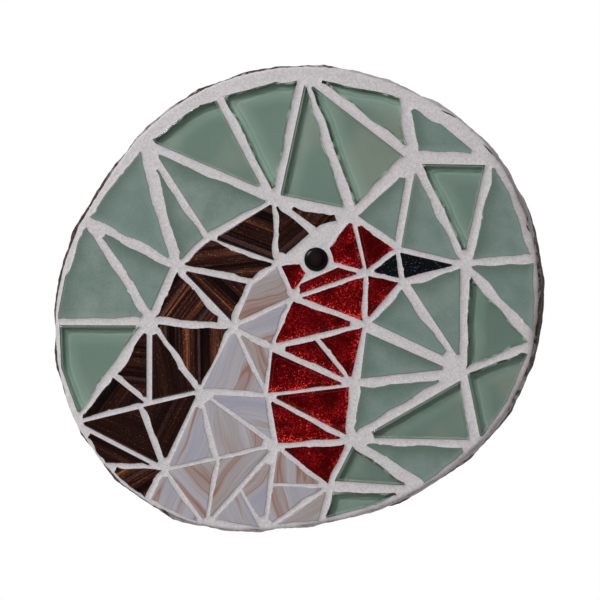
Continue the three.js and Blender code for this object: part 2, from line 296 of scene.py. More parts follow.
def triangulate(points, edges):
    """Triangles over flat points that keep the given edges, with the points in order."""
    made = delaunay_2d_cdt([Vector(p) for p in points], edges, [], 1, 1e-5)
    given = [origins[0] if origins else -1 for origins in made[3]]
    return np.array([tuple(p) for p in made[0]]), made[2], np.array(given)


# ---- glass shards ----

UPPER_LEFT = (-0.72, 0.69)  # where the light comes from
LOWER_RIGHT = (0.72, -0.69)
LEE_REACH = 3.0  # how far the shade of a joint reaches over the glass
LIT_REACH = 1.1
FACING = 0.25  # the least cosine for an edge to count as facing a direction
OUTLINE_STEP = 0.36
FACTORY_LENGTH = 9  # only a longer edge can be a tile's own straight edge
FACTORY_SHARE = 0.4  # and this share of those is
NIPPED_EDGE = 2.1  # shorter edges of the solids are nipped corners
TIP_REACH = 5  # a nipped corner further from its point than this stays as it is
EYE_ROOM = 5  # nor one that would point into the plain patch round the eye
SKEWED_EDGE = 6  # shorter edges aren't cut askew
SWAY = {"brown": 0.75, "clear": 0.5, "frosted": 0.55, "red": 0.35, "white": 0.4, "beak": 0.15}
BOW = (-0.12, 0.4)  # how hollow a cut edge is in its middle, as a share of the sway
RAGGED = 0.13  # the finer unevenness, in mm
CHIPS_PER_MM = 0.05
CHIP_WIDTH = (0.4, 1.0)
CHIP_BITE = (0.12, 0.42)
MOST_OUT = 0.2  # how far an uneven edge may stand out
CORNER_TAPER = 1.5  # unevenness fades over this length towards a corner
CORNER_SLOPE = 0.35  # and stays under this slope there, so that no corner folds
ACROSS_SHARE = 0.35  # how many shards have streaks across their straight side
TILT = 0.004  # how unevenly the shards lie, as a slope
SINK = 0.12  # and how much lower some lie
RING_FIT = 0.85  # the share of its inset that a ring keeps to at the corners
GRID_FIT = 0.4  # how far the grid keeps from the last ring, as a share of its step


def resample(corners, step):
    """Points along a closed outline, with the number of the edge each lies on."""
    points, edges = [], []
    for i, a in enumerate(corners):
        b = corners[(i + 1) % len(corners)]
        count = max(2, round(float(np.linalg.norm(b - a)) / step))
        for k in range(count):
            points.append(a + (b - a) * k / count)
            edges.append(i)
    return np.array(points), np.array(edges)


def line_crossing(a, b, c, d):
    """Where the line through a and b meets the line through c and d, or None."""
    across = turn((0, 0), b - a, d - c)
    if abs(across) < 1e-6:
        return None
    return a + (b - a) * (turn((0, 0), c - a, d - c) / across)


def sharpen(corners, chance):
    """Draws most nipped corners out again, nearly to the point they were cut from."""
    drawn = corners.copy()
    count = len(corners)
    for i in range(count):
        a, b = corners[i], corners[(i + 1) % count]
        before, after = corners[i - 1], corners[(i + 2) % count]
        keep = chance.uniform(0.15, 0.5) if chance.random() < 0.8 else 1.0
        if np.linalg.norm(b - a) > NIPPED_EDGE or count < 4:
            continue
        tip = line_crossing(before, a, b, after)
        if tip is None or np.linalg.norm(tip - a) > TIP_REACH:
            continue
        if np.linalg.norm(tip - EYE_PLACE) < EYE_ROOM:
            continue
        drawn[i] = tip + (a - tip) * keep
        drawn[(i + 1) % count] = tip + (b - tip) * keep
    return drawn


def skewed(corners, chance, how_often, most):
    """Moves some corners along an edge, so that the joints beside them turn to wedges."""
    moved = corners.copy()
    for i, corner in enumerate(corners):
        follows = chance.random() < 0.5
        other = corners[(i + 1) % len(corners)] if follows else corners[i - 1]
        length = float(np.linalg.norm(other - corner))
        shift = chance.uniform(0.25, 1.0) * most
        if chance.random() < how_often and length > SKEWED_EDGE:
            moved[i] = corner + (other - corner) * (shift / length)
    return moved


def worn_outline(corners, chance, sway):
    """An outline as nippers leave it: some edges straight, others uneven and chipped.

    With it come which points lie on straight edges, and each point's edge normal.
    """
    points, edges = resample(corners, OUTLINE_STEP)
    steps = np.roll(corners, -1, axis=0) - corners
    lengths = np.linalg.norm(steps, axis=1)
    edge_normals = np.stack([steps[:, 1], -steps[:, 0]], axis=1) / lengths[:, None]
    moved = points.copy()
    factory = set()
    for i, length in enumerate(lengths):
        on_edge = np.where(edges == i)[0]
        if length > FACTORY_LENGTH and chance.random() < FACTORY_SHARE:
            factory.add(i)
            continue
        bow = chance.uniform(*BOW) * sway
        seed = chance.uniform(0, 99)
        chips = [
            (chance.random(), chance.uniform(*CHIP_WIDTH), chance.uniform(*CHIP_BITE))
            for _ in range(int(length * CHIPS_PER_MM + chance.random()))
        ]
        for rank, k in enumerate(on_edge):
            share = rank / len(on_edge)
            along = share * length
            depth = bow * math.sin(math.pi * share)
            depth += sway * (0.15 + 1.5 * wave(along * 0.13, seed, 8))
            depth += RAGGED * wave(along * 0.5, seed, 0)
            depth += RAGGED * 0.9 * wave(along * 1.9, seed, 5)
            for centre, width, bite in chips:
                depth += bite * max(0.0, 1 - abs(along - centre * length) / width)
            to_corner = min(along, length - along)
            depth = max(depth, -MOST_OUT) * min(1.0, to_corner / CORNER_TAPER)
            moved[k] = points[k] - edge_normals[i] * min(depth, CORNER_SLOPE * to_corner)
    softer = (np.roll(moved, 1, axis=0) + 4 * moved + np.roll(moved, -1, axis=0)) / 6
    return softer, np.array([edge in factory for edge in edges]), edge_normals[edges]


def cut_off(corners, place, outward):
    """The part of a convex outline on the inner side of a line."""
    kept = []
    for a, b in zip(corners, np.roll(corners, -1, axis=0)):
        side_a, side_b = (a - place) @ outward, (b - place) @ outward
        if side_a <= 0:
            kept.append(a)
        if (side_a <= 0) != (side_b <= 0):
            kept.append(a + (b - a) * (side_a / (side_a - side_b)))
    return np.array(kept)


def held_within(corners, rim):
    """Cuts off what comes too close to the rim of the grout."""
    rim_ring = ring_of(rim)
    held = corners
    for corner in corners:
        angle, radius = math.atan2(corner[1], corner[0]), math.hypot(*corner)
        most = ring_radius(rim_ring, angle) - RIM_KEEP
        if radius > most:
            held = cut_off(held, corner * (most / radius), corner / radius)
    return held


eye_low, eye_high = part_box("eye_bead")
EYE_PLACE = np.array(flat((eye_low + eye_high) / 2)[:2])
EYE_RADIUS = (eye_high[0] - eye_low[0]) / MM / 2


class Shard:
    """One piece of glass: its CAD outline, its worn outline and its own chances."""

    count = 0

    def __init__(self, name, corners, levels, replaced, rim):
        self.name = name
        self.kind = name.rsplit("_", 1)[0]
        self.low, self.top = levels
        self.replaced = replaced
        self.chance = random.Random(f"{name} of the panel")
        colour = self.kind.split("_")[0]
        outline = grow(sharpen(corners, self.chance), SWELL.get(colour, SWELL_OTHERS))
        outline = skewed(outline, self.chance, *SKEW.get(colour, SKEW_OTHERS))
        outline = held_within(outline, rim)
        self.loop, self.is_factory, self.edge_normals = worn_outline(
            outline, self.chance, SWAY[colour])
        self.middle = self.loop.mean(axis=0)
        self.angle = self.streak_angle(outline)
        self.tone = self.chance.random()
        self.tilt = (self.chance.gauss(0, TILT), self.chance.gauss(0, TILT))
        self.sink = self.chance.uniform(0, SINK)
        Shard.count += 1
        self.seed = Shard.count * 37.0

    def streak_angle(self, outline):
        """The way its streaks run: along or across a straight side, if it has one."""
        start = self.loop[np.argmax(self.is_factory)]
        nearest = int(np.argmin(np.linalg.norm(outline - start, axis=1)))
        step = outline[(nearest + 1) % len(outline)] - outline[nearest]
        along = math.atan2(step[1], step[0])
        across = self.chance.random() < ACROSS_SHARE
        anyhow = self.chance.uniform(0, math.pi)
        if not self.is_factory.any():
            return anyhow
        return along + (math.pi / 2 if across else 0.0) + self.chance.gauss(0, 0.05)

    def grain(self, points):
        """Pattern coordinates in millimetres, turned and shifted shard by shard."""
        cos, sin = math.cos(self.angle), math.sin(self.angle)
        near = points - self.middle
        along = near[:, 0] * cos + near[:, 1] * sin
        across = near[:, 1] * cos - near[:, 0] * sin
        return np.stack([along, across, np.full(len(points), self.seed)], axis=1)

    def top_points(self, spacing, insets):
        """The loop, rings that follow it further in, and a grid over the rest."""
        outward = normals_of(self.loop)
        parts = [self.loop]
        for inset in insets:
            ring = self.loop - outward * inset
            away = gap_to(ring, self.loop)
            parts.append(ring[(away > inset * RING_FIT) & inside(ring, self.loop)])
        inner = grid(self.loop.min(axis=0), self.loop.max(axis=0), spacing)
        inner = inner[inside(inner, self.loop)]
        away = gap_to(inner, self.loop)
        parts.append(inner[away > insets[-1] + spacing * GRID_FIT])
        return np.concatenate(parts)

    def gaps(self, points, chosen=None):
        """How far each point is from the outline, or from a chosen part of it."""
        loop = self.loop if chosen is None else self.loop[chosen]
        if len(loop) == 0:
            return np.full(len(points), 99.0)
        return np.linalg.norm(points[:, None] - loop, axis=2).min(axis=1)

    def facing(self, direction):
        """Which points of the outline lie on edges that face a direction."""
        return self.edge_normals @ np.array(direction) > FACING


def rounding(away, radius, drop):
    """How much an edge rounded over `radius` loses at a distance from it."""
    short = np.clip(1 - away / radius, 0, 1)
    return drop * (1 - np.sqrt(1 - short * short))


def glass_heights(shard, points, factory_round, cut_round):
    """Top heights: pillowed factory edges, short broken edges, a slight tilt and swell."""
    drop = np.zeros(len(points))
    for chosen, (radius, depth) in (
            (shard.is_factory, factory_round), (~shard.is_factory, cut_round)):
        drop = np.maximum(drop, rounding(shard.gaps(points, chosen), radius, depth))
    near = points - shard.middle
    slope = near[:, 0] * shard.tilt[0] + near[:, 1] * shard.tilt[1]
    swell = np.array([wave(u * 0.12, v * 0.12, shard.seed) for u, v in points])
    return shard.top - shard.sink - drop + slope + 0.03 * swell


def plate(points, top, loop_count, low):
    """A closed body: a fine top, upright sides from its outer loop, and a flat back."""
    loop_edges = ring_edges(0, loop_count)
    flat_points, faces, given = triangulate(points, loop_edges)
    if len(flat_points) != len(points) or min(given) < 0:
        raise RuntimeError("the loop crosses itself")
    verts = [(u, v, h) for (u, v), h in zip(points, top)]
    faces = [tuple(given[i] for i in face) for face in faces]
    base = len(verts)
    verts += [(points[i][0], points[i][1], low) for i in range(loop_count)]
    for a, b in loop_edges:
        faces.append((a, base + a, base + b, b))
    faces.append(back_face(base, loop_count))
    return verts, faces


def shard_piece(shard, points, top, low, material, suffix="", replaced=()):
    """A body on a shard's outline, with all that the glass materials read."""
    verts, faces = plate(points, top, len(shard.loop), low)
    name = shard.name + suffix
    piece = new_piece(name, verts, faces, [material], replaced)
    where = np.array(verts)[:, :2]
    lee = shard.gaps(where, shard.facing(UPPER_LEFT))
    lit = shard.gaps(where, shard.facing(LOWER_RIGHT))
    # lee and lit fade with the distance to the edges that face the lamp and those that face away;
    # the frosted and red glass paint shade and light from them, and lee_gap places the clear
    # glass's painted light
    for label, values in {
        "grain": shard.grain(where),
        "tone": np.full(len(verts), shard.tone),
        "lee": fade(lee, LEE_REACH),
        "lit": fade(lit, LIT_REACH),
        "lee_gap": lee,
        "bevel": shard.gaps(where, shard.is_factory),
        "cut_gap": shard.gaps(where, ~shard.is_factory),
    }.items():
        paint(piece, label, values)


def fade(gaps, reach):
    return np.exp(-np.square(gaps / reach))


def read_shards(rim):
    """One shard for each glass node, and for each raised piece of the bed."""
    shards = []
    glass_top = 0
    for name in sorted(frame["nodes"]):
        kind = name.rsplit("_", 1)[0]
        if kind in KINDS:
            levels = heights(name)
            glass_top = levels[1]
            shards.append(Shard(name, hull(node_points(name)), levels, (name,), rim))
    nodes = sum(shard.kind == "white_shard" for shard in shards)
    for i, corners in enumerate(raised_outlines("grout_bed", glass_top)):
        name = f"white_shard_{nodes + i + 1:02d}"
        shards.append(Shard(name, corners, (shards[0].low, glass_top), (), rim))
    return shards


# ---- materials ----


class Tree:
    """A short way to write the nodes of a material, or of another owner of nodes."""

    def __init__(self, name, owners=bpy.data.materials, output="OutputMaterial"):
        self.owner = owners.new(name)
        self.owner.use_nodes = True
        self.tree = self.owner.node_tree
        self.tree.nodes.clear()
        self.output = self.add(output)

    def add(self, kind, inputs=None, **settings):
        made = self.tree.nodes.new("ShaderNode" + kind)
        for key, value in settings.items():
            setattr(made, key, value)
        for key, value in (inputs or {}).items():
            self.put(made.inputs[key], value)
        return made

    def put(self, socket, value):
        if isinstance(value, bpy.types.NodeSocket):
            self.tree.links.new(value, socket)
        else:
            socket.default_value = value

    def shade(self, shader):
        self.tree.links.new(shader, self.output.inputs["Surface"])
        return self.owner

    def number(self, name):
        return self.add("Attribute", attribute_name=name).outputs["Fac"]

    def vector(self, name):
        return self.add("Attribute", attribute_name=name).outputs["Vector"]

    def place(self, move=(0, 0, 0)):
        """Where a point is, in millimetres."""
        return self.stretch(self.add("TexCoord").outputs["Object"], (1 / MM,) * 3, move)

    def maths(self, operation, *values, clamp=False):
        made = self.add("Math", operation=operation, use_clamp=clamp)
        for i, value in enumerate(values):
            self.put(made.inputs[i], value)
        return made.outputs[0]

    def times(self, a, b, clamp=False):
        return self.maths("MULTIPLY", a, b, clamp=clamp)

    def times_plus(self, a, b, c):
        return self.maths("MULTIPLY_ADD", a, b, c)

    def mix(self, share, a, b):
        made = self.add("Mix", data_type="RGBA")
        self.put(made.inputs[0], share)
        self.put(made.inputs[6], rgba(a))
        self.put(made.inputs[7], rgba(b))
        return made.outputs[2]

    def ramp(self, value, stops):
        made = self.add("ValToRGB", {"Fac": value})
        elements = made.color_ramp.elements
        while len(elements) < len(stops):
            elements.new(0.5)
        for element, (place, colour) in zip(elements, stops):
            element.position = place
            element.color = rgba(colour)
        return made.outputs[0]

    def stretch(self, vector, scale, move=(0, 0, 0)):
        made = self.add("Mapping", {"Vector": vector, "Scale": scale, "Location": move})
        return made.outputs[0]

    def noise(self, vector, scale, detail=2.0, roughness=0.5, distortion=0.0):
        made = self.add("TexNoise", {
            "Vector": vector, "Scale": scale, "Detail": detail,
            "Roughness": roughness, "Distortion": distortion,
        })
        return made.outputs["Fac"]

    def streaks(self, grain, along, across, *look, move=(0, 0, 0)):
        """Noise drawn out along the grain."""
        return self.noise(self.stretch(grain, (along, across, 1), move), 1.0, *look)

    def flakes(self, vector, scale):
        """One number in 0..1 for each flake of glitter."""
        cells = self.add("TexVoronoi", {"Vector": vector, "Scale": scale}).outputs["Color"]
        return self.add("SeparateColor", {"Color": cells}).outputs[0]

    def bump(self, height, strength, distance, normal=None):
        inputs = {"Height": height, "Strength": strength, "Distance": distance}
        if normal is not None:
            inputs["Normal"] = normal
        return self.add("Bump", inputs).outputs[0]

    def blend(self, share, a, b):
        return self.add("MixShader", {0: share, 1: a, 2: b}).outputs[0]

    def principled(self, **inputs):
        named = {key.replace("_", " "): value for key, value in inputs.items()}
        named["Base Color"] = rgba(named["Base Color"])
        return self.add("BsdfPrincipled", named).outputs[0]


def rgba(colour):
    if isinstance(colour, bpy.types.NodeSocket):
        return colour
    if isinstance(colour, (int, float)):
        return (colour, colour, colour, 1)
    return (*colour, 1)


def polished(t, colour, roughness, specular=0.4):
    """Glass too dark or milky to see through, with a gloss on it."""
    return t.shade(t.principled(
        Base_Color=colour, Roughness=roughness, IOR=GLASS_IOR, Specular_IOR_Level=specular))


def clear_green():
    """Clear glass; shadow rays pass, so lamps light its back. Its faint green edge is painted light
    and shade: a dark line and a highlight line along the straight edges, with painted glints on
    patches of the broken edges.
    """
    t = Tree("clear_green_glass")
    bevel = t.number("bevel")
    cut_gap = t.number("cut_gap")
    grain = t.vector("grain")
    glass = t.principled(
        Base_Color=(0.90, 0.955, 0.92), Roughness=0.02, IOR=GLASS_IOR, Transmission_Weight=1.0)
    passing = t.add("BsdfTransparent", {"Color": rgba((0.94, 0.975, 0.955))}).outputs[0]
    shadow = t.add("LightPath").outputs["Is Shadow Ray"]
    body = t.blend(shadow, glass, passing)
    # painted shade and highlight: a dark line at each straight edge and a light line just inside
    # it, as the rounded edge would show
    line = t.ramp(bevel, [
        (0.0, (0.060, 0.090, 0.070)), (0.32, (0.050, 0.078, 0.060)),
        (0.46, (0.300, 0.375, 0.330)), (0.75, (0.235, 0.305, 0.262)),
    ])
    share = t.ramp(bevel, [(0.0, 0.42), (0.30, 0.22), (0.46, 0.50), (0.62, 0.20), (0.90, 0.0)])
    edge = t.principled(Base_Color=line, Roughness=0.3)
    with_painted_lines = t.blend(share, body, edge)
    # painted glints: pale patches near the broken edges, as their facets would catch the light
    painted_glint_band = t.ramp(t.times(cut_gap, 0.5), [(0.04, 0.0), (0.15, 0.75), (0.42, 0.0)])
    patchy = t.ramp(t.noise(grain, 0.42, 2.0), [(0.54, 0.0), (0.62, 1.0)])
    broken = t.principled(Base_Color=(0.380, 0.480, 0.436), Roughness=0.25)
    return t.shade(t.blend(t.times(painted_glint_band, patchy), with_painted_lines, broken))


def painted_back():
    """The green paint under clear glass, worn at a cut, with painted light: paler inside the edges
    that face the lamp, where the joint's shadow falls, then a painted bright band as of light
    gathered by the rounded edge.
    """
    t = Tree("painted_back")
    grain = t.vector("grain")
    tone = t.number("tone")
    lee_gap = t.number("lee_gap")
    cut_gap = t.number("cut_gap")
    cloud = t.noise(grain, 0.09, 2.0)
    base = t.mix(cloud, (0.090, 0.138, 0.114), (0.120, 0.170, 0.142))
    base = t.mix(t.times(tone, 0.5), base, (0.132, 0.182, 0.158))
    warm = t.ramp(t.noise(grain, 0.055, 1.0), [(0.50, 0.0), (0.66, 0.75)])
    base = t.mix(warm, base, (0.178, 0.198, 0.164))
    # painted light: the paint is lifted near the edges that face the lamp, over the joint's real
    # shadow, and a brighter painted band follows just beyond
    wobble = t.times_plus(t.noise(grain, 0.12, 1.0), 0.7, lee_gap)
    reach = t.times(wobble, 0.1)
    painted_fill_light = t.ramp(reach, [(0.0, 0.95), (0.20, 0.85), (0.27, 0.0)])
    base = t.mix(painted_fill_light, base, (0.225, 0.335, 0.268))
    painted_caustic_band = t.ramp(reach, [(0.25, 0.0), (0.30, 0.80), (0.37, 0.38), (0.70, 0.0)])
    base = t.mix(painted_caustic_band, base, (0.235, 0.310, 0.265))
    uneven = t.times_plus(t.noise(grain, 0.45, 2.0), 0.8, cut_gap)
    bare = t.ramp(t.times(uneven, 0.5), [
        (0.42, 0.0), (0.47, 0.85), (0.50, 0.85), (0.55, 0.0)])
    patchy = t.ramp(t.noise(grain, 0.14, 1.0), [(0.42, 0.0), (0.50, 1.0)])
    base = t.mix(t.times(bare, patchy), base, (0.060, 0.046, 0.024))
    return t.shade(t.principled(Base_Color=base, Roughness=0.5))


def frosted_green():
    """Etched green glass: a satin face with soft clouds, darker towards the shaded edge."""
    t = Tree("frosted_green_glass")
    grain = t.vector("grain")
    tone = t.number("tone")
    lee = t.number("lee")
    lit = t.number("lit")
    cloud = t.noise(grain, 0.13, 4.0, 0.6)
    base = t.mix(t.ramp(cloud, [(0.35, 0.0), (0.65, 1.0)]),
                 (0.108, 0.160, 0.137), (0.168, 0.216, 0.192))
    base = t.mix(t.times(tone, 0.5), base, (0.112, 0.176, 0.156))
    # painted shade inside the edges that face the lamp, painted light along the edges that face
    # away from it
    base = t.mix(t.times(lee, 0.80), base, (0.062, 0.104, 0.082))
    base = t.mix(t.times(lit, 0.34), base, (0.220, 0.285, 0.258))
    etch = t.noise(grain, 2.2, 4.0, 0.7)
    base = t.mix(t.ramp(etch, [(0.35, 0.20), (0.50, 0.0)]), base, (0.078, 0.118, 0.100))
    base = t.mix(t.ramp(etch, [(0.50, 0.0), (0.68, 0.20)]), base, (0.245, 0.305, 0.275))
    normal = t.bump(etch, 0.2, 0.0002)
    return t.shade(t.principled(Base_Color=base, Roughness=0.5, Normal=normal))


def brown():
    """Near-black brown glass shot through with copper threads."""
    t = Tree("brown_glass")
    grain = t.vector("grain")
    tone = t.number("tone")
    broad = t.streaks(grain, 0.006, 0.20, 2.0)
    threads = t.streaks(grain, 0.012, 1.1, 3.5, 0.70)
    fine = t.streaks(grain, 0.05, 3.4, 2.0, 0.6, move=(3, 7, 0))
    dust = t.noise(grain, 3.2, 2.0, 0.6)
    shine = t.times_plus(broad, 1.10, t.times(threads, 0.80))
    streaky = t.ramp(tone, [(0.30, 0.30), (0.50, 1.0)])
    shine = t.times_plus(shine, 0.50, -0.492)
    shine = t.times_plus(shine, streaky, 0.500)
    shine = t.times_plus(tone, 0.05, shine)
    shine = t.times_plus(t.maths("ADD", fine, -0.5), 0.14, shine)
    shine = t.times_plus(t.maths("ADD", dust, -0.5), 0.09, shine)
    colour = t.ramp(shine, [
        (0.44, (0.0032, 0.0018, 0.0022)),
        (0.50, (0.0120, 0.0046, 0.0036)),
        (0.565, (0.0330, 0.0108, 0.0075)),
        (0.615, (0.1000, 0.0330, 0.0150)),
        (0.655, (0.3100, 0.1020, 0.0300)),
        (0.71, (0.5600, 0.2700, 0.1300)),
    ])
    mauve = t.streaks(grain, 0.006, 0.40, 2.0, move=(5, 9, 0))
    mauve = t.times_plus(t.maths("ADD", dust, -0.5), 0.25, mauve)
    mauve = t.times(t.ramp(mauve, [(0.57, 0.0), (0.68, 0.65)]), streaky)
    colour = t.mix(mauve, colour, (0.088, 0.045, 0.041))
    spark = t.ramp(t.flakes(grain, 3.6), [(0.92, 0.0), (1.0, 0.7)])
    near_copper = t.ramp(shine, [(0.50, 0.04), (0.60, 0.8)])
    colour = t.mix(t.times(spark, near_copper), colour, (0.40, 0.20, 0.12))
    return polished(t, colour, 0.08)


def red():
    """Deep red glass over glitter, brighter where light gathers at its far edge."""
    t = Tree("red_glass")
    grain = t.vector("grain")
    tone = t.number("tone")
    lit = t.number("lit")
    cloud = t.noise(grain, 0.20, 2.0)
    level = t.times_plus(cloud, 0.20, t.flakes(grain, 3.0))
    level = t.times_plus(tone, 0.06, level)
    level = t.times_plus(lit, 0.26, level)
    colour = t.ramp(t.times(level, 0.75), [
        (0.15, (0.054, 0.0005, 0.0010)),
        (0.50, (0.097, 0.0014, 0.0022)),
        (0.73, (0.172, 0.0046, 0.0058)),
        (0.83, (0.320, 0.0110, 0.0110)),
        (0.89, (0.900, 0.0480, 0.0340)),
    ])
    depth = t.ramp(t.noise(grain, 0.14, 2.0), [(0.36, 0.82), (0.55, 0.0)])
    colour = t.mix(depth, colour, (0.032, 0.0003, 0.0006))
    # painted highlight line along the straight edges, with a painted dark line just inside it, as
    # the rounded edge would reflect
    bevel = t.times(t.number("bevel"), 0.5)
    colour = t.mix(t.ramp(bevel, [(0.40, 0.0), (0.48, 0.55), (0.53, 0.0)]),
                   colour, (0.250, 0.022, 0.026))
    colour = t.mix(t.ramp(bevel, [(0.50, 0.0), (0.57, 0.70), (0.66, 0.0)]),
                   colour, (0.028, 0.0006, 0.0010))
    return polished(t, colour, 0.08)


def swirled(t, grain, scale, reach):
    """Pattern coordinates that drift sideways, so that streaks curve as poured glass does."""
    drift = t.times_plus(t.noise(grain, scale, 1.0), reach, -reach / 2)
    move = t.add("CombineXYZ", {"Y": drift}).outputs[0]
    return t.add("VectorMath", {0: grain, 1: move}, operation="ADD").outputs[0]


def white():
    """Milky lilac-white glass, warmer in places, with a few rust-brown swirls."""
    t = Tree("white_glass")
    grain = swirled(t, t.vector("grain"), 0.075, 5.5)
    tone = t.number("tone")
    milk = t.streaks(grain, 0.02, 0.12, 2.0, 0.5, 0.3)
    warmth = t.times_plus(tone, 0.45, t.times_plus(milk, 1.2, -0.22))
    base = t.ramp(warmth, [
        (0.38, (0.285, 0.283, 0.338)),
        (0.58, (0.330, 0.316, 0.338)),
        (0.76, (0.285, 0.246, 0.238)),
        (0.95, (0.250, 0.196, 0.172)),
    ])
    veil = t.streaks(grain, 0.025, 0.26, 3.0, 0.5, 0.4)
    base = t.mix(t.ramp(veil, [(0.44, 0.0), (0.70, 0.55)]), base, (0.410, 0.400, 0.430))
    hairs = t.streaks(grain, 0.03, 1.5, 3.0, 0.65, move=(2, 4, 0))
    hairs = t.times(t.ramp(hairs, [(0.46, 0.0), (0.64, 0.5)]), warmth)
    base = t.mix(hairs, base, (0.190, 0.132, 0.106))
    bands = t.streaks(grain, 0.012, 0.15, 2.0, 0.45, 0.25)
    rust = t.times_plus(tone, 0.07, bands)
    amount = t.ramp(rust, [
        (0.56, 0.0), (0.606, 0.40), (0.622, 0.90), (0.634, 0.40), (0.69, 0.22), (0.73, 0.0)])
    colour = t.mix(amount, base, (0.225, 0.100, 0.060))
    return polished(t, colour, 0.12)


def black():
    """Black glass with fine teal, green and blue glitter."""
    t = Tree("black_glass")
    grain = t.vector("grain")
    glint = t.ramp(t.noise(grain, 1.7, 0.0), [
        (0.35, (0.030, 0.045, 0.130)), (0.50, (0.035, 0.090, 0.090)), (0.65, (0.080, 0.085, 0.055)),
    ])
    amount = t.ramp(t.flakes(grain, 3.3), [(0.84, 0.0), (0.94, 0.15), (0.97, 0.5), (1.0, 1.0)])
    colour = t.mix(amount, (0.0040, 0.0044, 0.0050), glint)
    return polished(t, colour, 0.10)


def eye_glass():
    """The black bead, with a painted reflection: a faint brown patch in the middle of its low dome.
    """
    t = Tree("eye_glass")
    colour = t.ramp(t.number("outwards"), [
        (0.0, (0.0165, 0.0100, 0.0098)), (0.30, (0.0130, 0.0080, 0.0080)),
        (0.85, (0.0024, 0.0021, 0.0026)), (1.0, (0.0024, 0.0024, 0.0030)),
    ])
    return polished(t, colour, 0.22, 0.08)


def slit_amount(t):
    """How deep in a crack of the grout a place is, from 0 to 1."""
    place = t.add("SeparateXYZ", {"Vector": t.vector("slit")})
    along = place.outputs["Y"]
    taper = t.maths("SUBTRACT", 1.0, t.times(along, along))
    across = t.maths("DIVIDE", t.maths("ABSOLUTE", place.outputs["X"]), SLIT_WIDTH)
    return t.times(t.maths("SUBTRACT", taper, across), 2.5, clamp=True)


def grout_paste():
    """Sanded grout: a light warm grey with fine sand, faint dirt with painted shade at the seams
    and the rim, and pores.
    """
    t = Tree("grout")
    place = t.place()
    sand = t.noise(place, 1.7, 4.0, 0.72)
    cloud = t.noise(place, 0.14, 3.0, 0.6)
    base = t.mix(cloud, (0.450, 0.428, 0.436), (0.535, 0.510, 0.520))
    base = t.mix(t.ramp(sand, [(0.34, 0.42), (0.50, 0.0)]), base, (0.300, 0.280, 0.285))
    base = t.mix(t.ramp(sand, [(0.50, 0.0), (0.68, 0.50)]), base, (0.680, 0.655, 0.662))
    # dirt with painted shade: darker in the seams beside the shards' far sides and towards the rim
    base = t.mix(t.number("dirt_and_shade"), base, (0.225, 0.180, 0.168))
    crack = slit_amount(t)
    base = t.mix(crack, base, (0.018, 0.013, 0.012))
    normal = t.bump(sand, 0.5, 0.00035)
    normal = t.bump(t.maths("SUBTRACT", 1.0, crack), 1.0, 0.0008, normal)
    return t.shade(t.principled(Base_Color=base, Roughness=0.95, Normal=normal))


def bark():
    """Dark bark, rubbed with grout where the panel was wiped."""
    t = Tree("bark")
    place = t.place()
    flake = t.noise(place, 0.45, 4.0, 0.6)
    base = t.ramp(flake, [
        (0.30, (0.010, 0.006, 0.006)), (0.55, (0.048, 0.026, 0.023)), (0.75, (0.115, 0.068, 0.058)),
    ])
    patch = t.noise(place, 0.35, 4.0, 0.68)
    amount = t.maths("ADD", t.number("smear"), patch)
    amount = t.ramp(amount, [(0.78, 0.0), (0.92, 0.85), (1.0, 1.0)])
    sand = t.noise(place, 1.7, 4.0, 0.7)
    grey = t.mix(sand, (0.240, 0.218, 0.220), (0.440, 0.412, 0.415))
    base = t.mix(amount, base, grey)
    normal = t.bump(flake, 0.5, 0.0006)
    return t.shade(t.principled(Base_Color=base, Roughness=0.92, Normal=normal))


def sawn_wood():
    """The sawn back: pale wood with growth rings, rays and saw marks."""
    t = Tree("sawn_wood")
    place = t.place((6, 0, -4))
    across = t.stretch(place, (1, 0, 1))
    wobble = t.noise(across, 0.035, 3.0)
    radius = t.add("VectorMath", {0: across}, operation="LENGTH").outputs["Value"]
    radius = t.times_plus(wobble, 13.0, radius)
    years = t.noise(t.add("CombineXYZ", {"X": radius}).outputs[0], 0.55, 3.0, 0.7)
    rings = t.ramp(years, [
        (0.30, (0.330, 0.205, 0.112)), (0.48, (0.400, 0.262, 0.150)),
        (0.56, (0.230, 0.128, 0.066)), (0.62, (0.375, 0.240, 0.135)),
    ])
    heart = t.times(radius, 0.014, clamp=True)
    base = t.mix(heart, (0.230, 0.135, 0.078), rings)
    fibre = t.noise(across, 2.4, 3.0, 0.6)
    base = t.mix(t.times(fibre, 0.35), base, (0.19, 0.11, 0.06))
    saw = t.noise(t.stretch(across, (0.02, 1, 1.1)), 1.0, 2.0)
    normal = t.bump(saw, 0.25, 0.0004)
    return t.shade(t.principled(Base_Color=base, Roughness=0.8, Normal=normal))


# ---- the grout ----

# What changes round the rim is a list of (degrees, spread in degrees, amount).
# Dirt and painted shade on the grout's rim and outer side: most at the right and lower right, away
# from the lamp, some at the left.
RIM_DIRT_AND_SHADE = ((0, 27, 0.85), (28, 14, 0.16), (320, 24, 0.45), (280, 26, 0.20), (168, 20, 0.35))
DEEP_DIRT_AND_SHADE = ((350, 40, 1.2), (24, 20, 1.3))  # where the dirt and painted shade go further in, in mm
SHORT_OF_BARK = ((163, 19, 0.62), (118, 24, 0.16), (246, 16, 0.40))  # in mm
BULGES = ((44, 15, 1.1), (165, 14, 0.35), (337, 12, 0.6))  # the slice's own lumps, in mm
DIRT_AND_SHADE_REACH = 0.7  # how far in from the rim the dirt and painted shade go elsewhere
SEAM_DIRT_AND_SHADE_REACH = 0.42
GROUT_GRID = 0.5
GROUT_BELOW = 0.34  # how far the joints lie under the glass
SEAM_RING = 0.24  # a ring of points at this distance round each shard
RIM_RINGS = (0.2, 0.5, 0.9, 1.4)
LEAST_GAP = 0.16  # between a free point and any shard's outline
BLOCK = 2000  # how many points are tested at a time
SOCKET_STEP = 0.14
SOCKET_FIT = 0.93  # the share of its inset that a ring keeps to at the corners
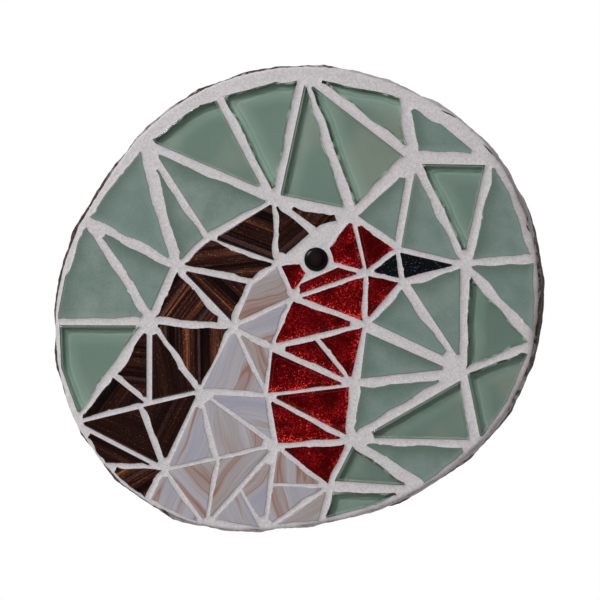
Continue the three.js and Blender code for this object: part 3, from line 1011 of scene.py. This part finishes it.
SOCKET_ROOM = 0.1  # between the glass and the floor of its socket
FLOOR_EVERY = 9  # the floors keep one in so many of the grid's points
FLOOR_INSET = 1.0
RIM_POINTS = 1000
RIM_INSET = 0.1
RIM_ROUND = 0.9  # how wide and how deep the face rounds over at the rim
RIM_DROP = 0.7
SLITS = ((38, 2.1, 0.55), (17, 1.2, 0.5), (51, 2.3, 0.45))  # degrees, half span, mm from the rim
SLIT_SLOPE = 0.16
SLIT_WIDTH = 0.24
NO_SLIT = (9.0, 9.0, 0.0)


def wander(angles, scale, seed):
    """Smooth noise round a ring."""
    return np.array([wave(math.cos(a) * scale, math.sin(a) * scale, seed) for a in angles])


class GlassEdges:
    """Finds the nearest point of any shard's outline, and which way that outline faces."""

    def __init__(self, shards):
        loops = [shard.loop for shard in shards]
        angles = np.arange(0, 2 * math.pi, 0.1)
        loops.append(EYE_PLACE + polar(EYE_RADIUS, angles))
        points = np.concatenate(loops)
        self.normals = np.concatenate([normals_of(loop) for loop in loops])
        self.tree = kdtree.KDTree(len(points))
        for i, (u, v) in enumerate(points):
            self.tree.insert((u, v, 0), i)
        self.tree.balance()

    def nearest(self, u, v):
        _, index, away = self.tree.find((u, v, 0))
        return away, self.normals[index]


def grout_loop():
    """The outline of the grout: the solid's, uneven as trowelled grout is."""
    foot_ring = level_ring("grout_bed", heights("grout_bed")[0])
    angles = np.arange(0, 2 * math.pi, 2 * math.pi / RIM_POINTS)
    radii = ring_radius(foot_ring, angles)
    radii = radii + 0.40 * wander(angles, 5, 3) + 0.30 * wander(angles, 18, 8)
    radii = radii + 0.16 * wander(angles, 60, 2)
    radii = radii + np.array([lobes(a, BULGES) - lobes(a, SHORT_OF_BARK) for a in angles])
    return polar(radii - RIM_INSET, angles)


def socket_ring(loop):
    """A ring just inside an outline, closer to it where a sharp corner leaves no room."""
    outward = normals_of(loop)
    ring = loop - outward * (SIDE_LAP * 0.2)
    for inset in (SIDE_LAP, SIDE_LAP + SOCKET_STEP / 2, SIDE_LAP + SOCKET_STEP):
        deeper = loop - outward * inset
        away = gap_to(deeper, loop)
        fits = (away > inset * SOCKET_FIT) & inside(deeper, loop)
        ring = np.where(fits[:, None], deeper, ring)
    return ring


def mark_under_glass(points, shards):
    """Which points lie under a shard."""
    under = np.zeros(len(points), dtype=bool)
    for shard in shards:
        low, high = shard.loop.min(axis=0), shard.loop.max(axis=0)
        near = np.where(np.all((points > low) & (points < high), axis=1))[0]
        under[near[inside(points[near], shard.loop)]] = True
    return under


def grout_points(shards, loop, glass):
    """Points of the grout's face, its fixed edges, and the points of the socket floors."""
    outward = normals_of(loop)
    parts, edges, is_low = [loop], ring_edges(0, len(loop)), [np.zeros(len(loop))]
    start = len(loop)
    for shard in shards:
        for ring, low in ((shard.loop, 0), (socket_ring(shard.loop), 1)):
            parts.append(ring)
            is_low.append(np.full(len(ring), low))
            edges += ring_edges(start, len(ring))
            start += len(ring)
    free = [grid(loop.min(axis=0), loop.max(axis=0), GROUT_GRID)]
    free += [shard.loop + normals_of(shard.loop) * SEAM_RING for shard in shards]
    free += [loop - outward * reach for reach in RIM_RINGS]
    free = np.concatenate(free)
    blocks = range(0, len(free), BLOCK)
    free = free[np.concatenate([inside(free[i:i + BLOCK], loop) for i in blocks])]
    gap = np.array([glass.nearest(u, v)[0] for u, v in free])
    free, gap = free[gap > LEAST_GAP], gap[gap > LEAST_GAP]
    under = mark_under_glass(free, shards)
    coarse = under & (np.arange(len(free)) % FLOOR_EVERY == 0) & (gap > FLOOR_INSET)
    parts += [free[~under], free[coarse]]
    is_low += [np.zeros(int((~under).sum())), np.ones(int(coarse.sum()))]
    return np.concatenate(parts), edges, np.concatenate(is_low)


def grout_height(u, v, away, edge, glass_top):
    """The face of a joint: up to the glass at its sides, hollow between, sandy all over."""
    lump = wave(u * 0.30, v * 0.30, 4)
    grit = wave(u * 1.1, v * 1.1, 9)
    climb = 0.20 * math.exp(-away / 0.35)
    hollow = 0.10 * min(1.0, away / 1.2)
    short = min(1.0, max(0.0, 1 - edge / RIM_ROUND))
    rim = RIM_DROP * (1 - math.sqrt(max(0.0, 1 - short * short)))
    return glass_top - GROUT_BELOW + climb - hollow + 0.10 * lump + 0.05 * grit - rim


def slit_place(u, v, edge):
    """Where a place lies to the nearest crack: mm across it, and its share along it."""
    places = []
    for middle, half_span, inset in SLITS:
        off = degrees_off(math.atan2(v, u), middle)
        places.append((edge - inset - SLIT_SLOPE * off, off / half_span, 0.0))
    return min(places, key=lambda place: abs(place[1]))


def rim_dirt_and_shade(u, v):
    """How dark the grout's outer side is at an angle, in patches: dirt, with painted shade on the
    side away from the lamp.
    """
    angle = math.atan2(v, u)
    patch = 0.8 + 0.7 * wave(u * 0.12, v * 0.12, 33)
    return max(0.0, min(1.0, lobes(angle, RIM_DIRT_AND_SHADE) * patch))


def seam_dirt_and_shade(u, v, away, facing):
    """Pinkish dirt and painted shadow in the seam round a shard, strongest along its lower right
    side, away from the lamp.
    """
    dirt = 0.55 + 0.9 * wave(u * 0.25, v * 0.25, 21)
    # painted shadow: the seam darkens most beside edges that face away from the lamp
    side = max(0.0, float(facing @ np.array(LOWER_RIGHT)))
    return max(0.0, min(1.0, (0.12 + 0.55 * side) * dirt * math.exp(-away / SEAM_DIRT_AND_SHADE_REACH)))


def grout_piece(shards, loop):
    """The whole bed: its face with a socket for each shard, its sides and its back."""
    foot, _ = heights("grout_bed")
    glass_top = max(shard.top for shard in shards)
    socket_floor = shards[0].low - SOCKET_ROOM
    glass = GlassEdges(shards)
    points, edges, is_low = grout_points(shards, loop, glass)
    flat_points, faces, given = triangulate(points, edges)
    angles, radii = ring_of(flat_points)
    to_rim = ring_radius(ring_of(loop), angles) - radii
    verts, dirt_and_shade_values, slits = [], [], []
    for (u, v), origin, edge in zip(flat_points, given, to_rim):
        away, facing = glass.nearest(u, v)
        if origin >= 0 and is_low[origin]:
            verts.append((u, v, socket_floor))
            dirt_and_shade_values.append(0.0)
            slits.append(NO_SLIT)
            continue
        verts.append((u, v, grout_height(u, v, away, edge, glass_top)))
        # dirt and painted shade, darkening towards the rim
        reach = DIRT_AND_SHADE_REACH + lobes(math.atan2(v, u), DEEP_DIRT_AND_SHADE)
        at_rim = rim_dirt_and_shade(u, v) * math.exp(-((max(0.0, edge) / reach) ** 2))
        dirt_and_shade_values.append(max(seam_dirt_and_shade(u, v, away, facing), at_rim))
        slits.append(slit_place(u, v, edge))
    place = {int(origin): i for i, origin in enumerate(given) if origin >= 0}
    base, count = len(verts), len(loop)
    verts += [(u, v, foot) for u, v in loop]
    dirt_and_shade_values += [rim_dirt_and_shade(u, v) for u, v in loop]
    slits += [NO_SLIT] * count
    for a, b in ring_edges(0, count):
        faces.append((place[a], base + a, base + b, place[b]))
    faces.append(back_face(base, count))
    piece = new_piece("grout", verts, faces, [grout_paste()], ("grout_bed",), sharp=60)
    paint(piece, "dirt_and_shade", dirt_and_shade_values)
    paint(piece, "slit", slits)


# ---- the branch slice ----

BARK_SIDES = 720
BARK_LEVELS = 22
# Where the bark is rubbed with grout, as for the rim of the grout.
WIPED = ((36, 25, 0.54), (325, 24, 0.24), (290, 30, 0.26), (250, 26, 0.26), (70, 20, 0.34),
         (130, 14, 0.28))


def bark_relief(u, v, h):
    """Ridges along the branch, finer flakes on them, and a few larger knobs."""
    ridge = wave(u * 9, v * 9, h * 0.10)
    flake = wave(u * 42, v * 42, h * 0.45)
    knob = max(0.0, wave(u * 5, v * 5, h * 0.16 + 7) - 0.28)
    return 0.34 * ridge + 0.20 * flake + 0.9 * knob


def slice_piece():
    """The slice with its bark: ridges and flakes on the sides, a flat sawn back."""
    low, top = heights("wood_slice")
    levels = sorted({round(p[2], 3) for p in node_points("wood_slice")})
    rings = [level_ring("wood_slice", level) for level in levels]
    angles = np.arange(0, 2 * math.pi, 2 * math.pi / BARK_SIDES)
    radii = np.array([ring_radius(ring, angles) for ring in rings])
    steps = [low + (top - low) * k / (BARK_LEVELS - 1) for k in range(BARK_LEVELS)]
    verts, smear = [], []
    for h in steps:
        is_end = h in (steps[0], steps[-1])
        for i, angle in enumerate(angles):
            u, v = math.cos(angle), math.sin(angle)
            radius = float(np.interp(h, levels, radii[:, i]))
            radius += lobes(angle, BULGES) * (h - low) / (top - low)
            radius += 0 if is_end else bark_relief(u, v, h)
            verts.append((radius * u, radius * v, h))
            smear.append(max(0.0, lobes(angle, WIPED) + 0.03 * (h - 0.5 * top)))
    faces = tube_faces(BARK_SIDES, BARK_LEVELS)
    last = (BARK_LEVELS - 1) * BARK_SIDES
    faces.append(tuple(last + i for i in range(BARK_SIDES)))
    faces.append(back_face(0, BARK_SIDES))
    materials = [bark(), sawn_wood()]
    piece = new_piece("branch_slice", verts, faces, materials, ("wood_slice",))
    paint(piece, "smear", smear)
    piece.data.polygons[-1].material_index = 1


# ---- the eye ----

EYE_SIDES = 64
EYE_RINGS = 14
EYE_RISE = 1.0  # the height of the dome
EYE_FOOT = 0.3  # the height of its slightly narrower foot


def eye_piece():
    """A round bead with a low dome."""
    foot, top = heights("eye_bead")
    brim = top - EYE_RISE
    profile = [(0.97, foot), (1.0, foot + EYE_FOOT), (1.0, brim)]
    for k in range(1, EYE_RINGS):
        angle = k * math.pi / 2 / EYE_RINGS
        profile.append((math.cos(angle) ** 0.7, brim + EYE_RISE * math.sin(angle)))
    angles = np.arange(EYE_SIDES) * 2 * math.pi / EYE_SIDES
    verts = []
    for share, h in profile:
        circle = EYE_PLACE + polar(share * EYE_RADIUS, angles)
        verts += [(u, v, h) for u, v in circle]
    faces = tube_faces(EYE_SIDES, len(profile))
    faces.append(back_face(0, EYE_SIDES))
    tip = len(verts)
    verts.append((*EYE_PLACE, top))
    faces += [(a, b, tip) for a, b in ring_edges(tip - EYE_SIDES, EYE_SIDES)]
    piece = new_piece("eye", verts, faces, [eye_glass()], ("eye_bead",))
    # the painted reflection sits a little left of and above the bead's middle, in an upright oval
    reflection_u, reflection_v = EYE_PLACE + (-0.1 * EYE_RADIUS, 0.12 * EYE_RADIUS)
    paint(piece, "outwards", [
        math.hypot((p[0] - reflection_u) * 1.2, p[1] - reflection_v) / EYE_RADIUS for p in verts])


# ---- building it all ----

GLASS = (clear_green(), frosted_green(), brown(), red(), white(), black())
MATERIALS = dict(zip(KINDS, GLASS))
BACK_PAINT = painted_back()
BACK_DEPTH = 3.1  # how deep the paint lies under the face of a clear shard
BACK_THICK = 0.25
FINE_INSETS = (0.08, 0.18, 0.3, 0.45, 0.65, 0.9, 1.25)
SHORT_INSETS = (0.08, 0.18, 0.32, 0.5, 0.8)
ROUNDS = {  # radius and drop of factory edges, then of broken ones
    "clear_green_shard": ((1.3, 0.55), (0.4, 0.22)),
    "frosted_green_shard": ((1.1, 0.35), (0.4, 0.2)),
}
OTHER_ROUNDS = ((0.8, 0.28), (0.35, 0.2))
GRID_STEP = 1.6
SHEET_ROOM = 0.25  # how far the sheet's inner points keep from its edge


def build_shard(shard):
    is_clear = shard.kind == "clear_green_shard"
    points = shard.top_points(GRID_STEP, FINE_INSETS if is_clear else SHORT_INSETS)
    top = glass_heights(shard, points, *ROUNDS.get(shard.kind, OTHER_ROUNDS))
    material = MATERIALS[shard.kind]
    shard_piece(shard, points, top, shard.low, material, replaced=shard.replaced)
    if is_clear:
        back_sheet(shard, points)


def back_sheet(shard, points):
    """The painted back of a clear shard, inside the foot of its glass."""
    inner = points[len(shard.loop):]
    inner = inner[shard.gaps(inner) > SHEET_ROOM]
    inner = np.concatenate([socket_ring(shard.loop), inner])
    level = shard.top - BACK_DEPTH
    top = np.full(len(inner), level)
    shard_piece(shard, inner, top, level - BACK_THICK, BACK_PAINT, ".paint")


def build_panel():
    rim = grout_loop()
    shards = read_shards(rim)
    for shard in shards:
        build_shard(shard)
    grout_piece(shards, rim)
    slice_piece()
    eye_piece()


# ---- floor, light and camera ----

VIEW_MIDDLE = (0.0, -0.0007)  # x and z of what the camera looks at, in metres
LENS = 135
FILM = 36
LAMP_PLACE = (-0.62, -0.85, 0.60)
LAMP_SIZE = 0.45
LAMP_POWER = 12.0
STUDIO = {"From Min": -0.90, "From Max": -0.70, "To Min": 0.02, "To Max": 0.62}
FLOOR_HALF = (0.6, 0.5)
FLOOR_LEVEL = -0.26


def surroundings():
    """A white studio that is dark just in front of the panel, as behind a camera."""
    t = Tree("studio", bpy.data.worlds, "OutputWorld")
    direction = t.add("TexCoord").outputs["Generated"]
    towards_wall = t.add("SeparateXYZ", {0: direction}).outputs["Y"]
    strength = t.add("MapRange", {"Value": towards_wall, **STUDIO}, interpolation_type="SMOOTHSTEP")
    lighting = t.add("Background", {"Color": rgba((1, 0.985, 1)), "Strength": strength.outputs[0]})
    seen = t.add("Background", {"Color": rgba(1)})
    is_seen = t.add("LightPath").outputs["Is Camera Ray"]
    bpy.context.scene.world = t.shade(t.blend(is_seen, lighting.outputs[0], seen.outputs[0]))


def key_lamp():
    """One lamp from the upper left, small enough for the joints to cast shadows."""
    data = bpy.data.lights.new("key", "AREA")
    data.shape = "DISK"
    data.size = LAMP_SIZE
    data.energy = LAMP_POWER
    made = link("key", data)
    made.location = LAMP_PLACE
    made.rotation_euler = (-Vector(LAMP_PLACE)).to_track_quat("-Z", "Y").to_euler()


def floor():
    mesh = bpy.data.meshes.new("floor")
    half, depth = FLOOR_HALF
    corners = [(-half, -depth), (half, -depth), (half, depth), (-half, depth)]
    mesh.from_pydata([(*corner, FLOOR_LEVEL) for corner in corners], [], [(0, 1, 2, 3)])
    made = link("floor", mesh)
    t = Tree("floor")
    made.data.materials.append(t.shade(t.principled(Base_Color=0.8, Roughness=0.9)))


def camera():
    data = bpy.data.cameras.new("camera")
    data.lens = LENS
    data.sensor_width = FILM
    data.clip_start = 0.05
    made = link("camera", data)
    distance = VIEW_SIDE * MM * LENS / FILM
    made.location = (VIEW_MIDDLE[0], cad_low[1] - distance, VIEW_MIDDLE[1])
    made.rotation_euler = (math.pi / 2, 0, 0)
    bpy.context.scene.camera = made


build_panel()
surroundings()
key_lamp()
floor()
camera()
bpy.context.scene.view_settings.view_transform = "Standard"
